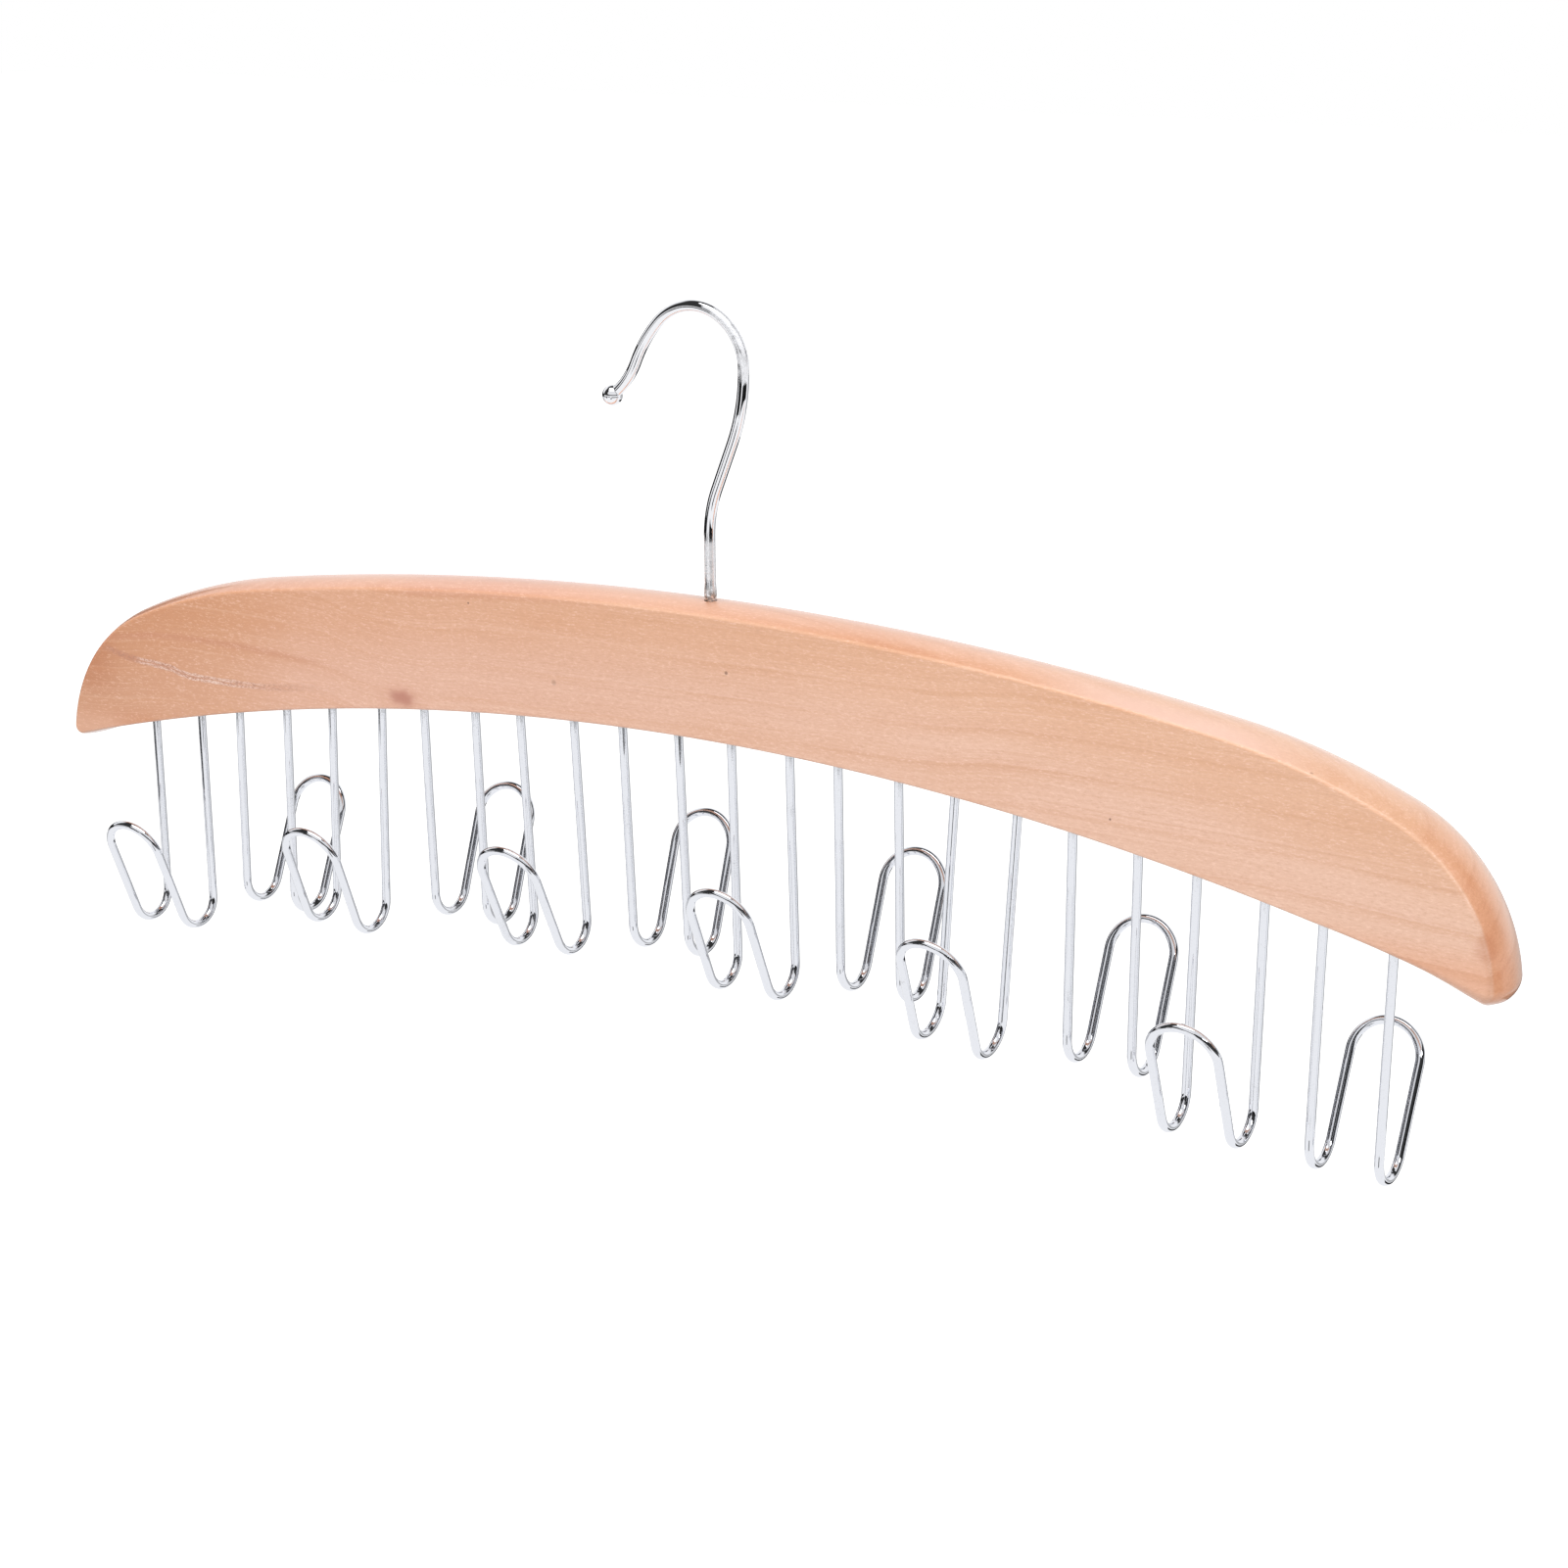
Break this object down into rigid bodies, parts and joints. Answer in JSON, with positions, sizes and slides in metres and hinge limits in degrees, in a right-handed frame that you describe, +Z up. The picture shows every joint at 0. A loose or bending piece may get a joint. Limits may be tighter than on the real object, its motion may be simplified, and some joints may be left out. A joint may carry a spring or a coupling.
{
  "type": "belt hanger",
  "caption": "Wooden bar hanger with a row of bent chrome wire hooks for belts, alternately in front of and behind the bar, under a swivel hook with a ball tip.",
  "frame": {"origin": "the lowest point of the inside of the swivel hook's crest, where the hook rests on a rail", "axes": "+X along the wooden bar, away from the swivel hook's ball tip; -Y out of the bar's front face; +Z up"},
  "size_m": [0.4412, 0.053, 0.1983],
  "materials": {
    "wood": "clear varnish, satin, over pale close-grained wood",
    "chrome": "bright chrome plating",
    "steel": "bright zinc plating"
  },
  "bodies": {
    "hook": {"swivel_hook": "chrome", "hook_washer": "steel", "hook_nut": "steel"},
    "hanger": {"wood_bar": "wood", "belt_hook_01": "chrome", "belt_hook_02": "chrome", "belt_hook_03": "chrome", "belt_hook_04": "chrome", "belt_hook_05": "chrome", "belt_hook_06": "chrome", "belt_hook_07": "chrome", "belt_hook_08": "chrome", "belt_hook_09": "chrome", "belt_hook_10": "chrome", "belt_hook_11": "chrome", "belt_hook_12": "chrome"}
  },
  "joints": [
    {"name": "hook_swivel", "type": "hinge", "parent": "hook", "child": "hanger", "pos_m": [0.00372, 0, -0.07367], "axis": [0, 0, 1], "continuous": true}
  ]
}
